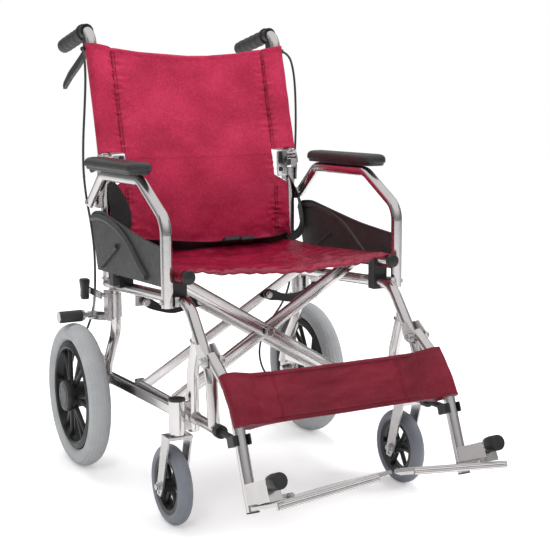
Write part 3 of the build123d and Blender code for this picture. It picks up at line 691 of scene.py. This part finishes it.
def stitches(name, path, outward, body, step=0.0036, size=0.00042):
    """Row of short raised stitches along a path."""
    points, faces = [], []
    travelled, due = 0.0, 0.0
    for a, b in zip(path, path[1:]):
        run = (b - a).length
        while due < travelled + run:
            along = (b - a).normalized()
            centre = a + along * (due - travelled) + Vector(outward) * size * 0.7
            wide = along.cross(Vector(outward)).normalized()
            corners = [centre + along * x * step * 0.31 + wide * y * size + Vector(outward) * z * size
                       for z in (-1, 1) for x, y in ((-1, -1), (1, -1), (1, 1), (-1, 1))]
            base = len(points)
            points += corners
            faces += [tuple(base + index for index in face) for face in
                      ((3, 2, 1, 0), (4, 5, 6, 7), (0, 1, 5, 4), (1, 2, 6, 5), (2, 3, 7, 6), (3, 0, 4, 7))]
            due += step
        travelled += run
    return piece(name, points, faces, THREAD, body, 0)


# ---- lap belt and its side webbing ----
HALF_SECTION = ((-1, -0.6), (-0.97, -1), (-0.5, -1), (0, -1), (0.5, -1), (0.97, -1), (1, -0.6))
WEBBING_SECTION = HALF_SECTION + tuple((-a, -b) for a, b in HALF_SECTION)


def ribbon(name, stops, width, thickness, body, shares=None):
    """Webbing through (point, width direction) stops, with its share of the full width at each stop if wanted."""
    line, turns = (smooth_path([stop[part] for stop in stops], 10) for part in (0, 1))
    widths = [share.x * width for share in smooth_path([(share, 0, 0) for share in shares or [1] * len(stops)], 10)]
    rings = []
    for index, (point, turn, width) in enumerate(zip(line, turns, widths)):
        along = (line[min(index + 1, len(line) - 1)] - line[max(index - 1, 0)]).normalized()
        wide = (turn - along * turn.dot(along)).normalized()
        thin = along.cross(wide)
        rings.append([point + wide * a * width / 2 + thin * b * thickness / 2 for a, b in WEBBING_SECTION])
    return piece(name, *skin(rings), WEBBING, body, 40)


def belt():
    """Lap belt lying along the crease between seat and back, with its buckle."""
    made = ribbon("lap_belt_webbing", (
        ((-0.196, 0.243, 0.484), (0.2, -1, 0.5)),
        ((-0.15, 0.226, 0.48), (0.1, -0.9, 0.45)),
        ((-0.1, 0.222, 0.474), (0.0, -0.8, 0.5)),
        ((-0.05, 0.226, 0.464), (0.0, -0.6, 0.8)),
        ((0.000, 0.23, 0.463), (0.1, -0.8, 0.6)),
        ((0.05, 0.228, 0.467), (0.0, -0.9, 0.4)),
        ((0.11, 0.228, 0.467), (0.0, -0.9, 0.4)),
        ((0.16, 0.23, 0.463), (0.0, -0.6, 0.8)),
        ((0.196, 0.238, 0.468), (0.0, -0.5, 0.9)),
    ), 0.03, 0.0022, "seat")
    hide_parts("lap_belt")
    narrows(made)
    for name, x, width, height in (("buckle_socket", 0.05, 0.04, 0.033), ("buckle_tongue", 0.088, 0.034, 0.028)):
        rings = []
        for inset, lift in ((0.002, -0.0055), (0, -0.004), (0, 0.002), (0.002, 0.0048), (0.008, 0.0062)):
            rings.append([Vector((x, 0.224, 0.47)) + Vector((1, 0, 0.02)) * a + Vector((0, -0.88, 0.47)) * b
                          + Vector((0, -0.47, -0.88)) * -lift
                          for a, b in rounded(width - 2 * inset, height - 2 * inset, 0.006 - min(inset, 0.003))])
        narrows(piece(name, *skin(rings), PLASTIC, "seat", 40))


def rear_gap_shade():
    """Black sheet of painted shade that closes the gap between the seat's rear edge and the back's lower hem."""
    rings = []
    for index in range(81):
        x = -0.2 + 0.4 * index / 80
        sway = 0.003 * wrinkle(x * 16, 2, 4)
        line = smooth_path([(x, 0.205, 0.444), (x, 0.222, 0.447 + sway), (x, 0.242, 0.452 + sway),
                            (x, 0.257, 0.46 - sway), (x, 0.261, 0.478)], 5)
        under = [point + Vector((0, 0.0009, -0.0009)) for point in reversed(line)]
        rings.append([Vector(point) for point in line] + under)
    made = piece("rear_gap_shade", *skin(rings), GAP_SHADE_CLOTH, "seat", 50)
    narrows(made)


upper_cloth()
lower_cloth()
seat_sling()
calf_strap()
belt()
rear_gap_shade()
# webbing from each rear cane down to the end of the lap belt
ribbon("belt_side_left", (
    ((-0.21, 0.25, 0.604), (1, 0, 0)), ((-0.204, 0.244, 0.58), (1, 0.1, 0)), ((-0.196, 0.239, 0.548), (1, 0.15, 0.1)),
    ((-0.196, 0.236, 0.52), (1, 0.1, 0.1)), ((-0.2, 0.233, 0.498), (1, 0.1, 0.2)),
    ((-0.196, 0.231, 0.48), (0.8, -0.5, 0.4))), 0.046, 0.0024, "frame_left", (0.35, 0.75, 1.0, 1.0, 0.7, 0.5))
ribbon("belt_side_right", (
    ((0.213, 0.257, 0.606), (0.6, 1, 0)), ((0.228, 0.253, 0.575), (0.4, 1, 0)), ((0.2395, 0.248, 0.535), (0.3, 1, 0)),
    ((0.24, 0.244, 0.495), (0.2, 1, 0)), ((0.223, 0.24, 0.473), (0.0, 1, 0.3)),
    ((0.196, 0.237, 0.468), (0.0, 0.9, 0.5))), 0.03, 0.0024, "frame_right")
# rows of stitches along the strap's edges and beside the back's seams
for row, v in enumerate((0.075, 0.925)):
    line = []
    for step in range(61):
        u = -0.9 + 1.8 * step / 60
        away = 0.0105 - 0.006 * hang(u) + 0.0009 + strap_slack(u * STRAP_HALF, v)
        line.append(STRAP_TOP + STRAP_DOWN * v + STRAP_FRONT * away + Vector((u * STRAP_HALF, 0, 0)))
    narrows(stitches(f"strap_stitches_{row}", line, STRAP_FRONT, "hanger_right"))
for row, off in enumerate((0.1735, 0.18)):
    for side, hand in SIDES.items():
        line = [CANE_FOOT + LEAN * height + FRONT * (0.0058 + pucker(off, height, 1)) + Vector((off * hand, 0, 0))
                for height in (0.004 + 0.214 * step / 150 for step in range(151))]
        stitches(f"back_stitches_{row}_{side}", line, FRONT, f"back_{side}", 0.0052, 0.0006)
        line = [lower_spot(off * hand, 0.36 + 0.6 * step / 70, 1) for step in range(71)]
        narrows(stitches(f"lower_stitches_{row}_{side}", line, FRONT, "frame_right", 0.0052, 0.0006))

# ---- small hardware, both sides ----
FOOT_FRONT = Vector((0, -0.93196, 0.36257))
FOOT_UP = Vector((0, 0.36257, 0.93196))


def foot_point(x, front, up):
    """Point in front of the hanger tube's lower end and up along it, both in metres."""
    return Vector((x, -0.402, 0.0965)) + FOOT_FRONT * front + FOOT_UP * up


def foot_spot(x, front, up, hand):
    """Point on a footplate, which rises towards the middle by turning about its hinge."""
    pivot = foot_point(0.19, 0, 0.017)
    tilt = Matrix.Rotation(math.radians(5), 3, -FOOT_FRONT)
    return mirrored(pivot + tilt @ (foot_point(x, front, up) - pivot), hand)


def armrest_pad(side, hand):
    """Moulded pad with a base tray, a parting line and a domed top."""
    rings = []
    for inset, z in ((0.007, 0.6373), (0.0045, 0.6378), (0.0035, 0.642), (0.0036, 0.6432), (0.0006, 0.644),
                     (0.0, 0.646), (0.0, 0.652), (0.0012, 0.6556), (0.0036, 0.6584), (0.0075, 0.6604),
                     (0.012, 0.6614), (0.017, 0.6619), (0.0215, 0.662)):
        outline = rounded(0.05 - 2 * inset, 0.265 - 2 * inset, max(0.018 - inset, 0.003), 8)
        rings.append([mirrored((0.258 + a, 0.0875 + b, z + 0.001 * math.cos(b * 11)), hand) for a, b in outline])
    made = piece(f"armrest_pad_skin_{side}", *skin(rings), PAD_SKIN, None, 60)
    smoother = made.modifiers.new("smooth", "SUBSURF")
    smoother.levels = smoother.render_levels = 1
    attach(made, f"frame_{side}")
    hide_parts(f"armrest_pad_{side}")


def tread_tyre(side, hand):
    """Solid grey tyre with zigzag grooves round its tread."""
    rings = []
    for step in range(720):
        turn = math.tau * step / 720
        wave = math.sin(step * math.tau / 8)
        ring = []
        for index in range(72):
            around = math.tau * index / 72
            x = 0.023 * math.sin(around)
            radial = 0.0195 * math.cos(around)
            radius = 0.133 + radial if radial > -0.0182 else 0.1148
            lane = (x + 0.0015 * wave) / 0.0066
            outer = min(1, max(0, (math.cos(around) - 0.25) * 5))
            radius -= 0.0021 * max(0, 1 - abs((lane % 1) - 0.5) * 5) * outer
            y, z = radius * math.cos(turn), radius * math.sin(turn)
            ring.append(mirrored((WHEEL[0] + x, WHEEL[1] + y, WHEEL[2] + z), hand))
        rings.append(ring)
    made = piece(f"tread_tyre_{side}", *skin(rings, closed=True), TYRE, f"wheel_{side}", 0)
    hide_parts(f"rear_tyre_{side}")


def weld(name, centre, axis, ring, bead, body):
    """Rippled weld bead round a joint."""
    path = circle(Vector(centre), *across(Vector(axis).normalized()), ring, 64)
    path.append(path[0].copy())
    rings = []
    for index, hoop in enumerate(hose(path, bead, 10)):
        scale = 0.85 + 0.15 * math.sin(index * 2.1)
        rings.append([path[index] + (point - path[index]) * scale for point in hoop])
    piece(name, *skin(rings), CAST, body, 0)


# profiles of turned pieces, as (radius, distance along the axis)
RAIL_PLUG = ((0.0088, -0.006), (0.0088, -0.0004), (0.0122, 0.0), (0.013, 0.0012), (0.013, 0.0075), (0.0118, 0.0098),
             (0.0085, 0.0108), (0.0, 0.0112))
HUB_CAP = ((0.0325, 0.0), (0.033, 0.0015), (0.033, 0.0125), (0.0312, 0.0158), (0.0265, 0.017), (0.0235, 0.017),
           (0.0228, 0.0158), (0.022, 0.0158), (0.0212, 0.0172), (0.0, 0.0176))
FOOT_STOP = ((0.0136, 0.0), (0.014, 0.0015), (0.014, 0.0245), (0.0132, 0.0262), (0.01, 0.0268), (0.0, 0.0269))
HANGER_END = ((0.0113, 0.0), (0.0116, 0.0006), (0.0116, 0.0018), (0.01, 0.0026), (0.0, 0.0026))
SHOE_SLEEVE = ((0.0118, 0.0), (0.0126, 0.0008), (0.0126, 0.0485), (0.0116, 0.0505), (0.0, 0.0508))
COLLAR = ((0.0112, 0.0), (0.013, 0.0006), (0.0136, 0.002), (0.013, 0.0034), (0.0124, 0.004), (0.013, 0.0046),
          (0.0136, 0.006), (0.013, 0.0074), (0.0112, 0.008))
GRIP = ((0.0112, 0.035), (0.0172, 0.035), (0.0184, 0.0362), (0.0184, 0.0388), (0.0163, 0.0402),
        *((0.0156 + 0.0006 * math.cos((along - 0.046) / 0.027 * math.tau), along)
          for along in (0.042 + 0.128 * step / 40 for step in range(41))),
        (0.0154, 0.1735), (0.014, 0.1765), (0.0115, 0.1775), (0.002, 0.1775))
RIB = ((-0.0012, -0.0003), (-0.0008, 0.0011), (0.0008, 0.0011), (0.0012, -0.0003))
KNOB = ((0.36, 0.014, 0.018, 0.0), (0.366, 0.016, 0.02, 0.0), (0.38, 0.015, 0.019, 0.0005),
        (0.39, 0.017, 0.022, 0.001), (0.3985, 0.0184, 0.0236, 0.0015), (0.402, 0.0172, 0.0222, 0.0016),
        (0.4032, 0.014, 0.019, 0.0016))  # height, width, depth, lean to the front

for side, hand in SIDES.items():
    root = f"frame_{side}"
    rail_body = "brace_b" if side == "right" else "brace_a"
    outward = Vector((hand, 0, 0))
    rail_along = Vector((0, -1, -RAIL_SLOPE)).normalized()
    armrest_pad(side, hand)
    tread_tyre(side, hand)
    # rail plugs, hub cap, end plug of the footrest, rubber sleeve of the brake shoe, collar above the back's hinge
    for name, profile, place, axis, material, body in (
            ("rail_plug_front", RAIL_PLUG, (RAIL_X, -0.152, 0.459), rail_along, PLASTIC, rail_body),
            ("rail_plug_rear", RAIL_PLUG, (RAIL_X, 0.212, 0.441), -rail_along, PLASTIC, rail_body),
            ("hub_cap", HUB_CAP, (0.2966, 0.297, 0.1525), outward, PLASTIC, f"wheel_{side}"),
            ("hanger_end", HANGER_END, foot_point(HANGER_X, 0, 0.0008), -FOOT_UP, PLASTIC, f"hanger_{side}"),
            ("shoe_sleeve", SHOE_SLEEVE, (0.2628, 0.31, 0.32), outward, RUBBER, f"park_shoe_{side}"),
            ("hinge_collar", COLLAR, (TUBE_X, 0.2632, 0.656), LEAN, STEEL, f"back_{side}")):
        turned(f"{name}_{side}", profile, mirrored(place, hand), axis, material, body)
    turned(f"foot_stop_{side}", FOOT_STOP, mirrored(foot_point(HANGER_X, 0.0935, 0.042), hand), FOOT_FRONT, PLASTIC,
           f"hanger_{side}", slot="black_rubber")
    # moulded push grip with shallow finger grooves
    made = turned(f"grip_{side}", GRIP, (TUBE_X * hand, 0.3335, 0.9225), (0, 0.1745, -0.0295), RUBBER, f"back_{side}")
    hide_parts(f"push_grip_{side}")
    # caster axle, hanger, link, wheel, back and armrest bolts
    for name, place, axis, size, body in (
            ("caster_nut_out", (0.28, -0.141, 0.075), outward, 0.0066, f"caster_swivel_{side}"),
            ("caster_nut_in", (0.224, -0.141, 0.075), -outward, 0.0066, f"caster_swivel_{side}"),
            ("hanger_bolt_out", (0.237, -0.249, 0.325), outward, 0.0062, root),
            ("hanger_bolt_in", (0.198, -0.249, 0.325), -outward, 0.0062, root),
            ("link_bolt", (0.08, 0.1, 0.366), (0, -1, 0), 0.006, f"link_{side}"),
            ("link_pivot_bolt", (0.198, 0.1, 0.374), (0, -1, 0), 0.0065, root),
            ("axle_nut", (0.22, 0.297, 0.1525), -outward, 0.0085, root),
            ("hinge_bolt", (0.2322, 0.262, 0.652), outward, 0.0055, root),
            ("arm_bolt_rear", (0.2592, 0.267, 0.5655), outward, 0.0042, root),
            ("arm_bolt_front", (0.2592, -0.127, 0.413), outward, 0.0045, root)):
        bolt(f"{name}_{side}", mirrored(place, hand), axis, size, body)
    # footplate ribs, and two rounded beads along its front lip
    ribs = []
    for front in (0.022 + index * 0.0095 for index in range(10)):
        inner = max(0.0095, 0.07 - (front - 0.017) * 0.8) + 0.004
        ribs.append(skin([[foot_spot(x, front + a, 0.012 + b, hand) for a, b in RIB] for x in (inner, 0.2275)]))
    piece(f"foot_ribs_{side}", *merged(*ribs), PLATE, f"foot_{side}", 20)
    lips = [skin(hose([foot_spot(x, 0.1163, up, hand) for x in (0.036, 0.228)], 0.0027)) for up in (0.003, 0.0088)]
    piece(f"foot_lip_{side}", *merged(*lips), POLISHED, f"foot_{side}", 20, "cast_aluminium")
    # parking brake: moulded knob and toggle spring
    rings = [[mirrored((0.263 + a, 0.285 - lean + b, height), hand) for a, b in rounded(width, depth, 0.0045)]
             for height, width, depth, lean in KNOB]
    piece(f"park_knob_{side}", *skin(rings), PLASTIC, f"park_handle_{side}", 50)
    coil = [mirrored((0.2605 + 0.0032 * math.cos(step * 0.7), 0.232 + 0.0032 * math.sin(step * 0.7),
                      0.333 + step * 0.00042), hand) for step in range(96)]
    piece(f"park_spring_{side}", *skin(hose(coil, 0.0006, 8)), STEEL, root)
    # rolled lip along the top of the side guard
    lip = smooth_path([mirrored((0.2466, y, z), hand) for y, z in (
        (0.271, 0.528), (0.262, 0.542), (0.215, 0.5485), (0.165, 0.542), (0.09, 0.53), (0.0, 0.517),
        (-0.1153, 0.5065))], 8)
    piece(f"guard_lip_{side}", *skin(hose(lip, 0.0026, 10)), GUARD_SKIN, root, 0)
    # hinge of the folding back: chromed plate with its slide and button
    for part, x, y, z, width, height, radius, material in (
            ("plate", 0.1925, 0.2498, 0.633, 0.026, 0.056, 0.004, STEEL),
            ("slide", 0.188, 0.2474, 0.646, 0.0085, 0.027, 0.0025, PLASTIC),
            ("button", 0.1885, 0.2474, 0.62, 0.009, 0.0095, 0.0025, PLASTIC)):
        plate(f"hinge_{part}_{side}", width, height, radius, mirrored((x, y, z), hand), material, root)
    # welds where the tubes of the side frame meet
    for name, place, axis, ring, bead in (
            ("cane", (TUBE_X, 0.262, 0.4045), (0, 0, 1), 0.0112, 0.0022),
            ("upright", (TUBE_X, 0.2258, 0.3835), (0, 0, 1), 0.0112, 0.002),
            ("post", (TUBE_X, -0.1875, 0.3485), (0, -0.3, 1), 0.0114, 0.0022),
            ("stub", (TUBE_X, -0.179, 0.205), (0, 1, 0), 0.0102, 0.0018)):
        weld(f"weld_{name}_{side}", mirrored(place, hand), axis, ring, bead, root)

# ---- cross braces: grooved front bars, flat rear bars, lower pivot tube and seat rail ----
def brace_profile(height, thick, groove):
    """Half-rounded section of a brace bar as (across, through) with a groove along each face."""
    section = rounded(height, thick, min(thick, height) * 0.36, 4)
    filled = []
    for index, (a, t) in enumerate(section):
        filled.append((a, t))
        following = section[(index + 1) % len(section)][0]
        if abs(a - following) > height * 0.3:
            for share, sunk in ((0.3, 0), (0.36, groove), (0.64, groove), (0.7, 0)):
                filled.append((a + (following - a) * share, t - math.copysign(sunk, t)))
    return filled


def brace(name, hand, front_y, rear_y):
    """One brace, from its lower pivot on one side up to the seat rail on the other."""
    shells = []
    for (low_y, high_y), height, groove in ((front_y, 0.026, 0.0009), (rear_y, 0.02, 0.0)):
        middle = (low_y + high_y) / 2
        low = Vector((0.2 * hand, middle, 0.198))
        high = Vector((-RAIL_X * hand, middle, rail_z(middle)))
        along = (high - low).normalized()
        over = Vector((0, 1, 0)).cross(along)
        profile = brace_profile(height, high_y - low_y - 0.0002, groove)
        rings = [[spot + over * a + Vector((0, t, 0)) for a, t in profile]
                 for spot in (low + along * 0.006, low.lerp(high, 0.35), low.lerp(high, 0.65), high - along * 0.009)]
        shells.append(skin(rings))
    for x, front, rear, radius, height in ((0.2, -0.0495, 0.1345, 0.0085, lambda y: 0.198),
                                           (-RAIL_X, -0.152, 0.212, 0.011, rail_z)):
        shells.append(skin(hose([Vector((x * hand, y, height(y))) for y in (front, rear)], radius, 28)))
    made = piece(f"{name}_bars", *merged(*shells), POLISHED, name)
    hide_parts(name)


brace("brace_a", 1, (-0.047, -0.036), (0.112, 0.118))
brace("brace_b", -1, (-0.035, -0.024), (0.119, 0.125))
for name, hand, middle in (("brace_a", 1, -0.0415), ("brace_b", -1, -0.0295)):
    for end, x, z in (("low", 0.1935, 0.203), ("high", -0.211, rail_z(middle) - 0.0045)):
        weld(f"weld_{end}_{name}", (x * hand, middle, z), (418 * hand, 0, -256), 0.0085, 0.0022, name)
bolt("brace_bolt", (0, -0.052, 0.32), (0, -1, 0), 0.0085, "brace_a")

# ---- floor, walls for the reflections, and light ----
FLOOR_R = 9.0
floor_mesh = bpy.data.meshes.new("floor")
floor_mesh.from_pydata([(x * FLOOR_R, y * FLOOR_R, 0) for x, y in ((-1, -1), (1, -1), (1, 1), (-1, 1))], [],
                       [(0, 1, 2, 3)])
placed("floor", floor_mesh)
floor_material, floor_tree, floor_shader = shader("floor", Roughness=0.7, Emission_Color=(1, 1, 1, 1))
tone = colour_ramp(floor_tree, noise_field(floor_tree, 2, 3), ((0.3, (0.9, 0.9, 0.905)), (0.7, (0.92, 0.92, 0.922))))
floor_tree.links.new(tone, floor_shader.inputs["Base Color"])
# to the camera the floor turns white away from the chair
distance = floor_tree.nodes.new("ShaderNodeVectorMath")
distance.operation = "LENGTH"
floor_tree.links.new(coordinates(floor_tree), distance.inputs[0])
seen = floor_tree.nodes.new("ShaderNodeLightPath").outputs["Is Camera Ray"]
glow = mixed(floor_tree, "MULTIPLY", spread(floor_tree, distance.outputs["Value"], 0.27, 0.5, 0.5, 2.2), seen)
floor_tree.links.new(glow, floor_shader.inputs["Emission Strength"])
floor_mesh.materials.append(floor_material)


def card(name, place, width, height):
    """Upright dark card that only shows in reflections."""
    mesh = bpy.data.meshes.new(name)
    mesh.from_pydata([(-width / 2, 0, 0), (width / 2, 0, 0), (width / 2, 0, height), (-width / 2, 0, height)], [],
                     [(0, 1, 2, 3)])
    made = placed(name, mesh)
    made.location = place
    made.rotation_euler = (0, 0, math.atan2(place[1], place[0]) + math.pi / 2)
    mesh.materials.append(shader(name, Roughness=1.0, Specular_IOR_Level=0.0, Base_Color=(0.04, 0.04, 0.04, 1))[0])
    made.visible_camera = made.visible_diffuse = made.visible_shadow = False


for index, (x, y, width, height) in enumerate(((-2.6, 0.5, 0.7, 2.2), (2.4, -0.6, 0.8, 2.2), (0.9, 2.8, 0.9, 2.0),
                                               (1.9, -2.1, 0.35, 1.9), (-2.6, -0.4, 0.35, 1.8))):
    card(f"card_{index}", (x, y, 0), width, height)


def softbox(name, place, height, size, power):
    """Large area light aimed at this height on the chair's middle."""
    data = bpy.data.lights.new(name, "AREA")
    data.shape = "RECTANGLE"
    data.size, data.size_y = size
    data.energy = power
    made = placed(name, data)
    made.location = place
    made.rotation_euler = (Vector((0, 0, height)) - Vector(place)).to_track_quat("-Z", "Y").to_euler()
    made.visible_glossy = False


softbox("key", (-2.2, -2.6, 2.5), 0.5, (1.2, 1.6), 42)
softbox("fill", (2.6, -1.4, 2.0), 0.5, (0.9, 1.8), 30)
softbox("top", (0.2, 0.6, 3.2), 0.3, (2.2, 1.6), 62)
world = bpy.data.worlds.new("studio")
world.use_nodes = True
scene.world = world
sky_tree = world.node_tree
room = sky_tree.nodes["Background"]
direction = sky_tree.nodes.new("ShaderNodeTexCoord")
parts = sky_tree.nodes.new("ShaderNodeSeparateXYZ")
sky_tree.links.new(direction.outputs["Generated"], parts.inputs["Vector"])
sky_tree.links.new(colour_ramp(sky_tree, spread(sky_tree, parts.outputs["Z"], 0, 1, -1.0, 1.0), (
    (0.0, (0.55, 0.55, 0.55)), (0.48, (0.34, 0.34, 0.345)), (0.54, (0.2, 0.2, 0.205)), (0.64, (0.42, 0.42, 0.425)),
    (0.8, (0.8, 0.8, 0.8)))), room.inputs["Color"])
backdrop = fixed(sky_tree.nodes.new("ShaderNodeBackground"), Color=(1, 1, 1, 1))
looking = sky_tree.nodes.new("ShaderNodeLightPath")
chosen = sky_tree.nodes.new("ShaderNodeMixShader")
sky_tree.links.new(looking.outputs["Is Camera Ray"], chosen.inputs[0])
sky_tree.links.new(room.outputs[0], chosen.inputs[1])
sky_tree.links.new(backdrop.outputs[0], chosen.inputs[2])
sky_tree.links.new(chosen.outputs[0], sky_tree.nodes["World Output"].inputs["Surface"])
scene.view_settings.view_transform = "Standard"
